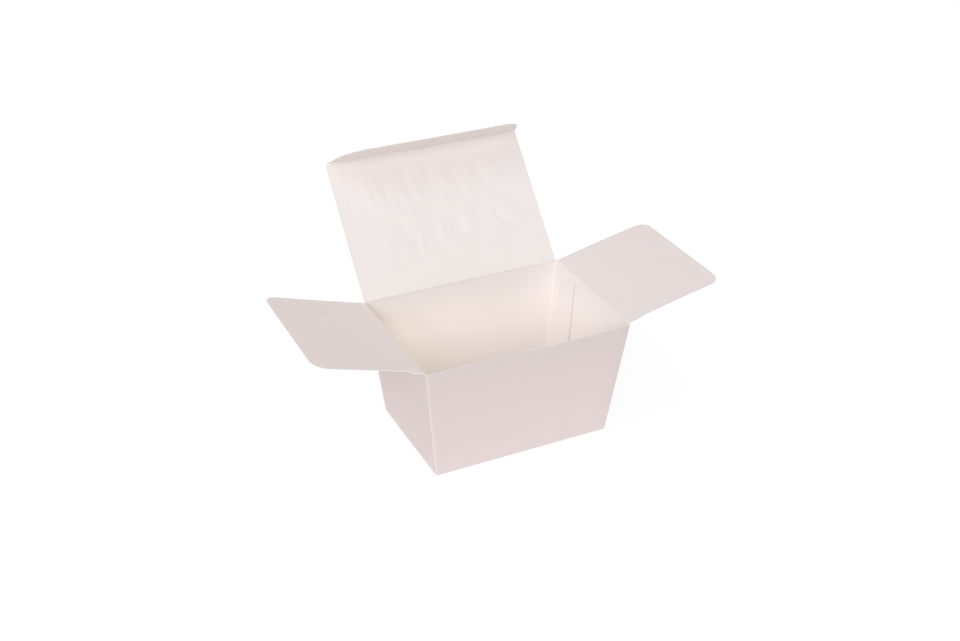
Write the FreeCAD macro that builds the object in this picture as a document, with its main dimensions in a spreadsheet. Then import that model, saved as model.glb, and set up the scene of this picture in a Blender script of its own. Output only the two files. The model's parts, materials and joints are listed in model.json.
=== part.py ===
import FreeCAD, Part
import os

import Sketcher
from FreeCAD import Placement, Rotation, Vector

# A ballotin: a tapered chocolate box folded from one sheet of card. The walls, the glue tab and the bottom
# are one solid. The two dust flaps, the lid and its tuck flap each turn on a crease, so each is a part of
# its own, drawn flat in the closed position and turned about its crease.
#
# +X runs along the long side to the right, +Y to the back, +Z up. The origin is the middle of the base.

doc = FreeCAD.newDocument("ballotin_box")


# ---------------------------------------------------------------- sizes (mm and degrees)

SIZES = [
    ("card", 0.4, "thickness of the card"),
    ("top_length", 110, "long side at the dust flaps' creases, between the card's mid-planes"),
    ("top_depth", 75.5, "short side at the same height"),
    ("base_length", 95, "long side at the base"),
    ("base_depth", 64, "short side at the base"),
    ("box_height", 63.4, "height of the dust flaps' creases"),
    ("bend", 0.25, "radius inside a fold that is glued square"),
    ("crease_gap", 0.1, "room between the two panels of a fold that turns"),
    ("root_round", 0.19, "rounding of a panel's edge in its crease, just under half the card"),
    ("layer_gap", 0.2, "room between panels that lie on each other when the box is shut"),
    ("flap_gap", 0.25, "from the box's middle to the end of a shut dust flap"),
    ("flap_root_inset", 1.4, "dust flap's front edge behind the front wall, at its crease"),
    ("flap_back_inset", 0.7, "dust flap's back edge in front of the back wall"),
    ("flap_shoulder_start", 4.7, "where the dust flap's front edge steps in, from its crease"),
    ("flap_shoulder_end", 8, "where that step ends"),
    ("flap_shoulder_round", 2.5, "rounding of the step"),
    ("flap_corner", 6.5, "corner radius of a dust flap"),
    ("tuck_room", 1.7, "from the tuck flap's plane back to the dust flaps' front edges"),
    ("lid_side_inset", 0.5, "lid's side edge inside the box's top length"),
    ("lid_corner", 0.8, "corner radius at the lid's free end"),
    ("tuck_length", 19.5, "length of the tuck flap"),
    ("tuck_clearance", 0.5, "between the folded tuck flap's tip and the front wall"),
    ("tuck_side_inset", 0.8, "tuck flap's shoulder inside the box's top length"),
    ("tuck_side_taper", 15, "angle of the tuck flap's sides"),
    ("tuck_corner", 11, "corner radius of the tuck flap"),
    ("slit_room", 0.8, "slit past the dust flap's step, seen along the box's length"),
    ("slit_drop", 1.3, "tuck flap's shoulder below the lid's crease"),
    ("lid_open_angle", 132.3, "lid as it stands, from shut"),
    ("tuck_fold_angle", 94, "tuck flap as it stands, from straight on from the lid"),
    ("right_flap_angle", 167.5, "right dust flap as it stands, from shut"),
    ("left_flap_angle", 163.1, "left dust flap as it stands, from shut"),
    ("tab_width", 21.5, "width of the glue tab"),
    ("tab_root_gap", 1.5, "glue tab's end from the crease and from the base, at its fold"),
    ("tab_edge_gap", 4.5, "the same at its free edge"),
    ("glue_bite", 0.1, "depth to which glued faces are merged"),
    ("side_bottom_flap", 26, "reach of the two side bottom flaps over the base"),
    ("side_bottom_inset", 0.8, "their sides from the front and back walls"),
    ("seam_gap", 0.3, "open seam where the two main bottom flaps hook together"),
    ("seam_hook", 5, "how far each hook reaches past the middle of the base"),
    ("seam_step", 12, "where the seam steps across, from the middle of the base"),
    ("score_width", 0.6, "width of a crease pressed into the bottom"),
    ("score_depth", 0.12, "depth of that crease"),
    ("raw_edge_gap", 0.14, "seam beside the right wall's raw edge at the back corner"),
    ("raw_edge_depth", 0.16, "depth of that seam"),
]

sizes = doc.addObject("Spreadsheet::Sheet", "sizes")
for row, (alias, value, note) in enumerate(SIZES, start=1):
    sizes.set(f"A{row}", alias.replace("_", " "))
    sizes.set(f"B{row}", str(value))
    sizes.setAlias(f"B{row}", alias)
    sizes.set(f"C{row}", note)
doc.recompute()


def s(alias):
    """The sheet's cell of that name, for use in an expression."""
    return f"sizes.{alias}"


def wall_length(height):
    """Long side of the box, between the card's mid-planes, at a height."""
    return f"({s('base_length')} + ({s('top_length')} - {s('base_length')}) * ({height}) / {s('box_height')})"


def wall_depth(height):
    """Short side of the box, between the card's mid-planes, at a height."""
    return f"({s('base_depth')} + ({s('top_depth')} - {s('base_depth')}) * ({height}) / {s('box_height')})"


# Heights of the creases and of the wall tops under them. The lid's crease is a layer of card above the
# dust flaps' creases, so that the lid shuts over them.
FOLD_ROOM = f"({s('card')} / 2 + {s('crease_gap')})"
LID_HEIGHT = f"({s('box_height')} + {s('card')} + {s('layer_gap')})"
SIDE_RIM = f"({s('box_height')} - {FOLD_ROOM})"
BACK_RIM = f"({LID_HEIGHT} - {FOLD_ROOM})"
FLOOR_TOP = s("card")

# The tuck flap hangs inside the front wall, which leans inward below it. So the lid is short of the box's
# depth by the card and by what the tuck flap's tip needs.
FRONT_SLOPE = f"(({s('top_depth')} - {s('base_depth')}) / 2 / {s('box_height')})"
LID_SETBACK = (
    f"({s('card')} + {s('tuck_clearance')}"
    f" + {s('tuck_length')} * ({FRONT_SLOPE} + cos({s('tuck_fold_angle')})))"
)
LID_PIVOT_Y = f"({wall_depth(LID_HEIGHT)} / 2)"
LID_LENGTH = f"({LID_PIVOT_Y} + {s('top_depth')} / 2 - {LID_SETBACK})"


# ---------------------------------------------------------------- helpers


def new_body(name):
    body = doc.addObject("PartDesign::Body", name)
    body.Label = name
    return body


def plane(body, role):
    return next(f for f in body.Origin.OriginFeatures if f.Role == role)


def value_of(expression):
    """The number that an expression on the sheet comes to."""
    return float(sizes.evalExpression(expression))


def polygon_sketch(body, name, corners, role="XY_Plane", offset=None):
    """A closed outline on an origin plane. Each corner is a pair of expressions, and each of its two
    coordinates is a constraint bound to them. A coordinate that starts with - is measured the other way."""
    sketch = body.newObject("Sketcher::SketchObject", name)
    sketch.AttachmentSupport = (plane(body, role), [""])
    sketch.MapMode = "FlatFace"
    if offset is not None:
        sketch.setExpression("AttachmentOffset.Base.z", offset)
    points = [Vector(value_of(x), value_of(y), 0) for x, y in corners]
    count = len(points)
    for i in range(count):
        sketch.addGeometry(Part.LineSegment(points[i], points[(i + 1) % count]), False)
    for i in range(count):
        sketch.addConstraint(Sketcher.Constraint("Coincident", i, 2, (i + 1) % count, 1))
    for i, corner in enumerate(corners):
        for kind, axis_line, expression in (("DistanceX", -2, corner[0]), ("DistanceY", -1, corner[1])):
            if expression == "0":
                sketch.addConstraint(Sketcher.Constraint("PointOnObject", i, 1, axis_line))
                continue
            if expression.startswith("-"):
                size = expression[1:]
                made = sketch.addConstraint(
                    Sketcher.Constraint(kind, i, 1, -1, 1, value_of(size))
                )
            else:
                size = expression
                made = sketch.addConstraint(
                    Sketcher.Constraint(kind, -1, 1, i, 1, value_of(size))
                )
            sketch.setExpression(f"Constraints[{made}]", size)
    return sketch


def loft(body, name, kind, sections):
    feature = body.newObject(f"PartDesign::{kind}Loft", name)
    feature.Profile = sections[0]
    feature.Sections = [(section, [""]) for section in sections[1:]]
    feature.Ruled = True
    return feature


def wedge(body, name, kind, low, high):
    """A tapered block that stands upright. low and high are each a height, a length and a depth, as
    expressions."""
    feature = body.newObject(f"PartDesign::{kind}Wedge", name)
    feature.AttachmentSupport = (plane(body, "XY_Plane"), [""])
    feature.MapMode = "FlatFace"
    feature.AttachmentOffset = Placement(Vector(), Rotation(Vector(1, 0, 0), 90))
    for end, number, (height, length, depth) in (("min", "", low), ("max", "2", high)):
        feature.setExpression(f"Y{end}", height)
        feature.setExpression(f"X{number}min", f"-{length} / 2")
        feature.setExpression(f"X{number}max", f"{length} / 2")
        feature.setExpression(f"Z{number}min", f"-{depth} / 2")
        feature.setExpression(f"Z{number}max", f"{depth} / 2")
    return feature


def pad(body, name, sketch, length, symmetric=False):
    feature = body.newObject("PartDesign::Pad", name)
    feature.Profile = sketch
    feature.SideType = "Symmetric" if symmetric else "One side"
    feature.setExpression("Length", length)
    return feature


def pocket(body, name, sketch, depth):
    """Cuts upward, along the sketch's +Z."""
    feature = body.newObject("PartDesign::Pocket", name)
    feature.Profile = sketch
    feature.Reversed = True
    feature.setExpression("Length", depth)
    return feature


def fillet(body, name, base, radius, wanted):
    """Rounds the edges of base for which wanted(edge) is true."""
    doc.recompute()
    edges = [f"Edge{i}" for i, e in enumerate(base.Shape.Edges, start=1) if wanted(e)]
    if not edges:
        raise RuntimeError(f"{name}: no edge to round")
    feature = body.newObject("PartDesign::Fillet", name)
    feature.Base = (base, edges)
    feature.setExpression("Radius", radius)
    return feature


def ends(edge):
    return edge.Vertexes[0].Point, edge.Vertexes[-1].Point


def upright(edge):
    """True of an edge that climbs more than it runs."""
    a, b = ends(edge)
    return abs(b.z - a.z) > (b - a).Length * 0.5


def upright_at(x, y, tolerance=0.01):
    """A test for the upright edge through a corner of a flat panel."""

    def wanted(edge):
        a, _ = ends(edge)
        return upright(edge) and abs(a.x - x) < tolerance and abs(a.y - y) < tolerance

    return wanted


# ---------------------------------------------------------------- the box body


def make_box_body():
    body = new_body("box_body")
    card = s("card")

    def outer(height):
        return height, f"({wall_length(height)} + {card})", f"({wall_depth(height)} + {card})"

    def inner(height):
        return height, f"({wall_length(height)} - {card})", f"({wall_depth(height)} - {card})"

    # The four walls: a tapered block, rounded at its folds, less the tapered space inside it. At the
    # fourth corner, back right, the right wall's raw edge shows instead of a fold.
    block = wedge(body, "wall_block", "Additive", outer("0"), outer(BACK_RIM))
    fillet(
        body,
        "outer_folds",
        block,
        f"{s('bend')} + {card}",
        lambda e: is_foot(e) or (upright(e) and not is_raw_corner(e)),
    )
    hollow = wedge(body, "inside", "Subtractive", inner(FLOOR_TOP), inner(BACK_RIM))
    fillet(body, "inside_folds", hollow, s("bend"), is_inside_fold)

    # Only the back wall reaches up to the lid's crease. The others end under the dust flaps' creases.
    inside_back = f"({wall_depth(SIDE_RIM)} / 2 - {card} / 2 - {s('layer_gap')})"
    reach = s("top_length")
    low_rim = polygon_sketch(
        body,
        "low_rim_outline",
        [("-" + reach, "-" + reach), (reach, "-" + reach), (reach, inside_back), ("-" + reach, inside_back)],
        offset=SIDE_RIM,
    )
    pocket(body, "low_rim", low_rim, s("box_height"))
    doc.recompute()

    add_glue_tab(body)
    add_side_bottom_flaps(body)
    cut_bottom_seam(body)
    cut_bottom_scores(body)
    cut_raw_edge_seam(body)
    return body


def is_foot(edge):
    """True of an edge round the underside of the box."""
    return max(p.z for p in ends(edge)) < 1e-6


def is_raw_corner(edge):
    """True of the upright edge at the back right corner."""
    foot = min(ends(edge), key=lambda p: p.z)
    return foot.x > 0 and foot.y > 0


def is_inside_fold(edge):
    """True of an upright edge on the inside of the walls."""
    a = min(ends(edge), key=lambda p: p.z)
    return upright(edge) and abs(a.z - value_of(FLOOR_TOP)) < 1e-6


def add_glue_tab(body):
    """The tab folded off the back wall lies against the inside of the right wall. Its free edge is
    parallel to the corner, and its two ends slope, so that it clears the crease and the base."""
    card = s("card")

    def section(name, height, width):
        wall = f"({wall_length(height)} / 2 - {card} / 2)"
        back = f"({wall_depth(height)} / 2 - {card} / 2)"
        outside = f"({wall} + {s('glue_bite')})"
        inside = f"({wall} - {card})"
        root = f"({back} + {s('glue_bite')})"
        edge = f"({back} - {width})"
        corners = [(inside, edge), (outside, edge), (outside, root), (inside, root)]
        return polygon_sketch(body, name, corners, offset=height)

    stub = s("tab_root_gap")
    return loft(
        body,
        "glue_tab",
        "Additive",
        [
            section("tab_bottom_root", s("tab_root_gap"), stub),
            section("tab_bottom_edge", s("tab_edge_gap"), s("tab_width")),
            section("tab_top_edge", f"({s('box_height')} - {s('tab_edge_gap')})", s("tab_width")),
            section("tab_top_root", f"({s('box_height')} - {s('tab_root_gap')})", stub),
        ],
    )


def add_side_bottom_flaps(body):
    """The two side bottom flaps lie on the main ones. Each is mitred at 45 degrees at its free corner."""
    card = s("card")
    root_x = f"({wall_length(FLOOR_TOP)} / 2)"
    half = f"({wall_depth(FLOOR_TOP)} / 2 - {s('side_bottom_inset')})"
    tip_x = f"({root_x} - {s('side_bottom_flap')})"
    mitre_y = f"({half} - {s('side_bottom_flap')})"
    bottom = f"({card} - {s('glue_bite')})"
    thickness = f"({card} + {s('glue_bite')})"
    for name, side, far in (("left", "-", ""), ("right", "", "-")):
        corners = [
            (side + root_x, far + half),
            (side + tip_x, far + half),
            (side + tip_x, side + mitre_y),
            (side + root_x, side + half),
        ]
        outline = polygon_sketch(body, f"{name}_bottom_outline", corners, offset=bottom)
        pad(body, f"{name}_bottom_flap", outline, thickness)
        doc.recompute()


def cut_bottom_seam(body):
    """The two main bottom flaps hook into each other: the open seam runs in front of the middle on one
    side, steps across it, and runs behind it on the other."""
    gap = f"({s('seam_gap')} / 2)"
    hook = s("seam_hook")
    step = s("seam_step")
    end = f"({s('base_length')} / 2 - {s('card')} - {s('bend')})"
    corners = [
        ("-" + end, f"({hook} - {gap})"),
        (f"({step} - {gap})", f"({hook} - {gap})"),
        (f"({step} - {gap})", f"-({hook} + {gap})"),
        (end, f"-({hook} + {gap})"),
        (end, f"-({hook} - {gap})"),
        (f"({step} + {gap})", f"-({hook} - {gap})"),
        (f"({step} + {gap})", f"({hook} + {gap})"),
        ("-" + end, f"({hook} + {gap})"),
    ]
    pocket(body, "bottom_seam", polygon_sketch(body, "bottom_seam_outline", corners), s("card"))
    doc.recompute()


def cut_bottom_scores(body):
    """The diagonal creases on which the main bottom flaps fold when the box is pressed flat."""
    reach = s("side_bottom_flap")
    half_x = f"({s('base_length')} / 2)"
    half_y = f"({s('base_depth')} / 2)"
    width = f"({s('score_width')} / 2)"
    start = f"({s('card')} + {s('bend')} + {s('score_width')})"
    for name, side in (("front", "-"), ("back", "")):
        corners = [
            (f"{side}({half_x} - {start} - {width})", f"{side}({half_y} - {start} + {width})"),
            (f"{side}({half_x} - {reach} - {width})", f"{side}({half_y} - {reach} + {width})"),
            (f"{side}({half_x} - {reach} + {width})", f"{side}({half_y} - {reach} - {width})"),
            (f"{side}({half_x} - {start} + {width})", f"{side}({half_y} - {start} - {width})"),
        ]
        outline = polygon_sketch(body, f"{name}_score_outline", corners)
        pocket(body, f"{name}_score", outline, s("score_depth"))
        doc.recompute()


def cut_raw_edge_seam(body):
    """At the back right corner the back wall's fold ends beside the right wall's raw edge: a fine open
    seam down the back."""

    def section(name, height):
        face = f"({wall_depth(height)} / 2 + {s('card')} / 2)"
        side = f"({wall_length(height)} / 2 - {s('card')} / 2)"
        near, far = side, f"({side} - {s('raw_edge_gap')})"
        corners = [
            (far, f"({face} - {s('raw_edge_depth')})"),
            (near, f"({face} - {s('raw_edge_depth')})"),
            (near, f"({face} + {s('raw_edge_depth')})"),
            (far, f"({face} + {s('raw_edge_depth')})"),
        ]
        return polygon_sketch(body, name, corners, offset=height)

    loft(
        body,
        "raw_edge_seam",
        "Subtractive",
        [section("raw_edge_foot", f"({s('bend')} + {s('card')})"), section("raw_edge_rim", BACK_RIM)],
    )
    doc.recompute()


# ---------------------------------------------------------------- the flaps and the lid


def round_root(body, base, on_root):
    """Rounds the two long edges that a panel has in its crease."""
    return fillet(body, f"{body.Name}_root", base, s("root_round"), on_root)


def make_dust_flap(name, side, angle):
    """A dust flap, shut over the box and then turned outward about its crease. side is 1 for the right
    one and -1 for the left one. Its front edge steps back from the crease on, so that the tuck flap can
    pass in front of it and its end can lock under the step."""
    body = new_body(name)
    inward, outward = ("-", "") if side > 0 else ("", "-")
    half = f"{s('top_depth')} / 2"
    root = f"({s('card')} / 2)"
    reach = f"({s('top_length')} / 2 - {s('flap_gap')})"
    back = f"({half} - {s('flap_back_inset')})"
    front_root = f"({half} - {s('flap_root_inset')})"
    front = f"({half} - {LID_SETBACK} - {s('card')} - {s('tuck_room')})"
    corners = [
        (outward + root, back),
        (inward + reach, back),
        (inward + reach, "-" + front),
        (inward + s("flap_shoulder_end"), "-" + front),
        (inward + s("flap_shoulder_start"), "-" + front_root),
        (outward + root, "-" + front_root),
    ]
    panel = pad(body, f"{name}_panel", polygon_sketch(body, f"{name}_outline", corners), s("card"), True)
    x_out = -side * value_of(reach)
    y_back, y_front = value_of(back), -value_of(front)
    outer = fillet(
        body,
        f"{name}_corners",
        panel,
        s("flap_corner"),
        lambda e: upright_at(x_out, y_back)(e) or upright_at(x_out, y_front)(e),
    )
    step_in = upright_at(-side * value_of(s("flap_shoulder_end")), y_front)
    step_out = upright_at(-side * value_of(s("flap_shoulder_start")), -value_of(front_root))
    step = fillet(
        body,
        f"{name}_step",
        outer,
        s("flap_shoulder_round"),
        lambda e: step_in(e) or step_out(e),
    )
    x_root = side * value_of(root)
    round_root(body, step, lambda e: all(abs(p.x - x_root) < 1e-6 for p in ends(e)) and not upright(e))

    body.Placement = Placement(Vector(), Rotation(Vector(0, 1, 0), 0))
    body.setExpression(".Placement.Base.x", f"{outward}({s('top_length')} / 2)")
    body.setExpression(".Placement.Base.z", s("box_height"))
    body.setExpression(".Placement.Rotation.Angle", f"{outward}{angle}")
    return body


def make_lid():
    """The lid panel, shut towards the front and then opened about its crease on the back wall."""
    body = new_body("lid_panel")
    half = f"({s('top_length')} / 2 - {s('lid_side_inset')})"
    root = f"({s('card')} / 2)"
    end = f"({LID_LENGTH} - {FOLD_ROOM})"
    corners = [("-" + half, root), (half, root), (half, "-" + end), ("-" + half, "-" + end)]
    panel = pad(body, "lid_plate", polygon_sketch(body, "lid_outline", corners), s("card"), True)
    y_end = -value_of(end)
    rounded = fillet(
        body,
        "lid_corners",
        panel,
        s("lid_corner"),
        lambda e: upright(e) and abs(ends(e)[0].y - y_end) < 1e-6,
    )
    y_root = value_of(root)
    round_root(body, rounded, lambda e: all(abs(p.y - y_root) < 1e-6 for p in ends(e)) and not upright(e))

    body.Placement = Placement(Vector(), Rotation(Vector(1, 0, 0), 0))
    body.setExpression(".Placement.Base.y", LID_PIVOT_Y)
    body.setExpression(".Placement.Base.z", LID_HEIGHT)
    body.setExpression(".Placement.Rotation.Angle", f"-{s('lid_open_angle')}")
    return body


def make_tuck_flap():
    """The tuck flap, straight on from the lid and then folded towards the inside. A slit at each end of
    its crease frees its shoulders, which catch under the dust flaps."""
    body = new_body("tuck_flap")
    root = f"({s('card')} / 2)"
    crease = f"({s('top_length')} / 2 - {s('flap_shoulder_end')} - {s('slit_room')})"
    shoulder = f"({s('top_length')} / 2 - {s('tuck_side_inset')})"
    drop = s("slit_drop")
    length = s("tuck_length")
    tip = f"({shoulder} - ({length} - {drop}) * tan({s('tuck_side_taper')}))"
    corners = [
        ("-" + crease, root),
        (crease, root),
        (crease, "-" + drop),
        (shoulder, "-" + drop),
        (tip, "-" + length),
        ("-" + tip, "-" + length),
        ("-" + shoulder, "-" + drop),
        ("-" + crease, "-" + drop),
    ]
    panel = pad(body, "tuck_plate", polygon_sketch(body, "tuck_outline", corners), s("card"), True)
    y_tip = -value_of(length)
    rounded = fillet(
        body,
        "tuck_corners",
        panel,
        s("tuck_corner"),
        lambda e: upright(e) and abs(ends(e)[0].y - y_tip) < 1e-6,
    )
    y_root = value_of(root)
    round_root(body, rounded, lambda e: all(abs(p.y - y_root) < 1e-6 for p in ends(e)) and not upright(e))

    # The crease is carried by the open lid, a lid's length from the lid's own crease.
    body.Placement = Placement(Vector(), Rotation(Vector(1, 0, 0), 0))
    angle = s("lid_open_angle")
    body.setExpression(".Placement.Base.y", f"{LID_PIVOT_Y} - {LID_LENGTH} * cos({angle})")
    body.setExpression(".Placement.Base.z", f"{LID_HEIGHT} + {LID_LENGTH} * sin({angle})")
    body.setExpression(".Placement.Rotation.Angle", f"{s('tuck_fold_angle')} - {angle}")
    return body


# ---------------------------------------------------------------- build, check, write

parts = [
    make_box_body(),
    make_dust_flap("right_flap", 1, s("right_flap_angle")),
    make_dust_flap("left_flap", -1, s("left_flap_angle")),
    make_lid(),
    make_tuck_flap(),
]
doc.recompute()

for item in doc.Objects:
    if any(word in item.State for word in ("Invalid", "Error")):
        raise RuntimeError(f"{item.Name} failed: {item.State}")
for part in parts:
    if part.Shape.isNull() or not part.Shape.isValid() or len(part.Shape.Solids) != 1:
        raise RuntimeError(f"{part.Label}: not one valid solid")

os.makedirs("parts", exist_ok=True)
for part in parts:
    part.Shape.exportStep(f"parts/{part.Label}.step")
    box = part.Shape.BoundBox
    print(
        f"{part.Label}: {part.Shape.Volume:.1f} mm3,"
        f" x {box.XMin:.2f} to {box.XMax:.2f}, y {box.YMin:.2f} to {box.YMax:.2f},"
        f" z {box.ZMin:.2f} to {box.ZMax:.2f}"
    )
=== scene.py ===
# %% [markdown]
# # An open ballotin
#
# A ballotin is the tapered box that a chocolate shop fills by hand. It is cut and creased from one sheet of
# thin card: four walls, a glue tab, a bottom that locks by itself, two dust flaps, and a lid with a tuck
# flap. Here it stands open. The CAD model is the fixed frame. Each of its five parts gets a sheet of card
# with real thickness, soft folds and raw edges. The sheet of the walls rides on the body of the box, and the
# other four take the places of their parts, which are hidden.

# %% Load the frame
import bmesh
import bpy
import json
import math
import numpy as np
from mathutils import Matrix, Vector


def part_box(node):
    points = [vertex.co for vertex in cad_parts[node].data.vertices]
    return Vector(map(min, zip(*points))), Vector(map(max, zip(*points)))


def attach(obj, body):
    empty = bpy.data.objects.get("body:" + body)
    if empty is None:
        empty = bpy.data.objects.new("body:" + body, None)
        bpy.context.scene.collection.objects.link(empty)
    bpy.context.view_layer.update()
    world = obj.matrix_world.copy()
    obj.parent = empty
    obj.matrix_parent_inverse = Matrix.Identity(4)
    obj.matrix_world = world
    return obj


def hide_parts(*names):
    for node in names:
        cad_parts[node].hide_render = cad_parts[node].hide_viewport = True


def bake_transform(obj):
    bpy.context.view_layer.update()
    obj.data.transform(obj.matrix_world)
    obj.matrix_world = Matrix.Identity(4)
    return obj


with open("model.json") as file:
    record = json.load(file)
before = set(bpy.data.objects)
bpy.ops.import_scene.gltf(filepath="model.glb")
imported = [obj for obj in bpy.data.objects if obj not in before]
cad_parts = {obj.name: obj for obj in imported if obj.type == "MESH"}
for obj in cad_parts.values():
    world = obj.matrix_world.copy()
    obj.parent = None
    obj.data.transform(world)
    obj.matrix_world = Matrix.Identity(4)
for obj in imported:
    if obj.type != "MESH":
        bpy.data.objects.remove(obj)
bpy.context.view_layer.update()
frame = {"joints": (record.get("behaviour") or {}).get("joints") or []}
joints = {joint["name"]: joint for joint in frame["joints"]}
print("joints:", sorted(joints))

# %% [markdown]
# ## The camera
#
# The box is seen from the front left and from 30 degrees above, through a lens that is a little longer than
# a normal one, so the walls hardly converge. The camera is placed by two angles, a distance and a small
# shift of its aim, as a tripod is set up beside a table. It leans by a little over half a degree.

# %% Camera
MM = 0.001
# The camera's angles are in degrees, its distance and the shift of its aim in mm.
CAMERA_AZIMUTH, CAMERA_ELEVATION, CAMERA_LEAN = -26.374, 30.115, -0.63
CAMERA_DISTANCE, AIM_RIGHT, AIM_UP = 725.421, -7.347, 51.408
SENSOR_WIDTH, FOCAL_LENGTH = 36, 52.2655


def look_from(azimuth, elevation):
    """The direction from the object to a viewer, and the viewer's right and up."""
    a, e = math.radians(azimuth), math.radians(elevation)
    back = Vector((math.sin(a) * math.cos(e), -math.cos(a) * math.cos(e), math.sin(e)))
    right = (-back).cross(Vector((0, 0, 1))).normalized()
    return back, right, right.cross(-back)


def viewer_at(point, right, up, back):
    """The matrix of a camera or a lamp at a point. It looks the opposite way to back."""
    return Matrix.Translation(point) @ Matrix((right, up, back)).transposed().to_4x4()


towards_camera, level_right, level_up = look_from(CAMERA_AZIMUTH, CAMERA_ELEVATION)
lean = math.radians(CAMERA_LEAN)
leaning_right = level_right * math.cos(lean) - level_up * math.sin(lean)
leaning_up = level_right * math.sin(lean) + level_up * math.cos(lean)
aim = leaning_right * AIM_RIGHT * MM + leaning_up * AIM_UP * MM

camera = bpy.data.objects.new("camera", bpy.data.cameras.new("camera"))
bpy.context.scene.collection.objects.link(camera)
camera.data.sensor_width = SENSOR_WIDTH
camera.data.lens = FOCAL_LENGTH
camera.data.clip_start = 10 * MM
camera.matrix_world = viewer_at(
    aim + towards_camera * CAMERA_DISTANCE * MM, leaning_right, leaning_up, towards_camera
)
bpy.context.scene.camera = camera
print("camera at", [round(c, 4) for c in camera.matrix_world.translation])

# %% [markdown]
# ## A sheet of card
#
# Every part of the box is the same thing: a sheet 0.4 mm thick that runs straight, then turns in a fold. A
# plane with a Solidify modifier would do for one flat flap. A fold needs more, because its inner face is
# pushed up into a bead where the creasing rule met the card. So one helper takes a grid of points in the
# middle of the sheet, finds which way each point faces, and lays an inner face, an outer face and a raw
# edge round them. The bead is extra height on the inner face alone.
#
# The helper also stores where each point lay on the flat sheet. Grain and marks follow those numbers, so
# they run on round a fold and don't slide when a flap turns. A second set of numbers says how near a point
# is to a fold, where the varnish has cracked a little and a lighter highlight line is painted, and to a cut
# edge, where the face is made a shade greyer and darker.

# %% Which way a sheet faces
CARD = 0.4 * MM
TINY = 1e-12


def facing(grid, inward):
    """The unit vector at right angles to the sheet at each point, on the side of inward."""
    rows, columns = np.gradient(grid, axis=0), np.gradient(grid, axis=1)
    normal = np.cross(rows, columns)
    normal /= np.maximum(np.linalg.norm(normal, axis=2, keepdims=True), TINY)
    middle = normal[normal.shape[0] // 2, normal.shape[1] // 2]
    return normal if middle @ np.array(inward) > 0 else -normal


print("card:", CARD / MM, "mm thick")

# %% A closed sheet round a grid
EDGE_BULGE = 0.03 * MM
OUTSIDE, INSIDE, RAW_EDGE = range(3)


def card_mesh(grid, inward, flat, bead=0.0, folded=(0.0, 0.0), cut=0.0):
    """Vertices, faces, face materials, flat positions and fold and cut shares of a closed sheet round a grid
    of points. bead is the extra height of the inner face. folded is how far the inner and the outer face are
    lightened at a fold, for cracked varnish and a painted highlight, and cut is how far a face is greyed at a
    cut edge, all from 0 to 1."""
    count_r, count_c = grid.shape[:2]
    normal = facing(grid, inward)
    height = np.broadcast_to(np.asarray(bead, float), (count_r, count_c))[..., None]
    inner = grid + normal * (CARD / 2 + height)
    outer = grid - normal * CARD / 2

    last_r, last_c = count_r - 1, count_c - 1
    loop = [(0, c) for c in range(last_c)] + [(r, last_c) for r in range(last_r)]
    loop += [(last_r, c) for c in range(last_c, 0, -1)] + [(r, 0) for r in range(last_r, 0, -1)]
    edge = []
    for r, c in loop:
        within = grid[min(max(r, 1), last_r - 1), min(max(c, 1), last_c - 1)]
        away = grid[r, c] - within
        away -= normal[r, c] * (away @ normal[r, c])
        edge.append(grid[r, c] + away / max(np.linalg.norm(away), TINY) * EDGE_BULGE)

    size = count_r * count_c
    number = np.arange(size).reshape(count_r, count_c)
    faces, materials = [], []
    for r in range(last_r):
        for c in range(last_c):
            a, b, d, e = number[r, c], number[r, c + 1], number[r + 1, c + 1], number[r + 1, c]
            faces += [(a, b, d, e), (size + e, size + d, size + b, size + a)]
            materials += [INSIDE, OUTSIDE]
    for i, here in enumerate(loop):
        j = (i + 1) % len(loop)
        a, b = number[here], number[loop[j]]
        mid_a, mid_b = 2 * size + i, 2 * size + j
        faces += [(a, mid_a, mid_b, b), (mid_a, size + a, size + b, mid_b)]
        materials += [RAW_EDGE, RAW_EDGE]

    points = np.concatenate([inner.reshape(-1, 3), outer.reshape(-1, 3), np.array(edge)])
    flat = flat.reshape(-1, 2)
    around = np.array([flat[number[here]] for here in loop])
    spread = np.concatenate([flat, flat, around])
    shares = [np.broadcast_to(np.asarray(w, float), (count_r, count_c)).ravel() for w in (*folded, cut)]
    fold_and_cut_shares = np.column_stack([
        np.concatenate([shares[0], shares[1], np.zeros(len(loop))]),
        np.concatenate([shares[2], shares[2], np.zeros(len(loop))]),
    ])
    return points, faces, materials, spread, fold_and_cut_shares


# %% [markdown]
# One piece can be made of several sheets, as the walls, the tab and the bottom are. The numbers of the flat
# sheet and of its fold and cut shares are stored in the mesh as attributes, where a material can read them.
# The fold share carries a painted highlight as well as cracked varnish. The raw edge meets the faces at a
# sharp angle, so shading is smooth everywhere but there.

# %% One piece from closed sheets
SHARP_ANGLE = math.radians(50)
FLAT, FOLD_AND_CUT_NEARNESS = "flat_sheet", "fold_and_cut"


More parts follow.
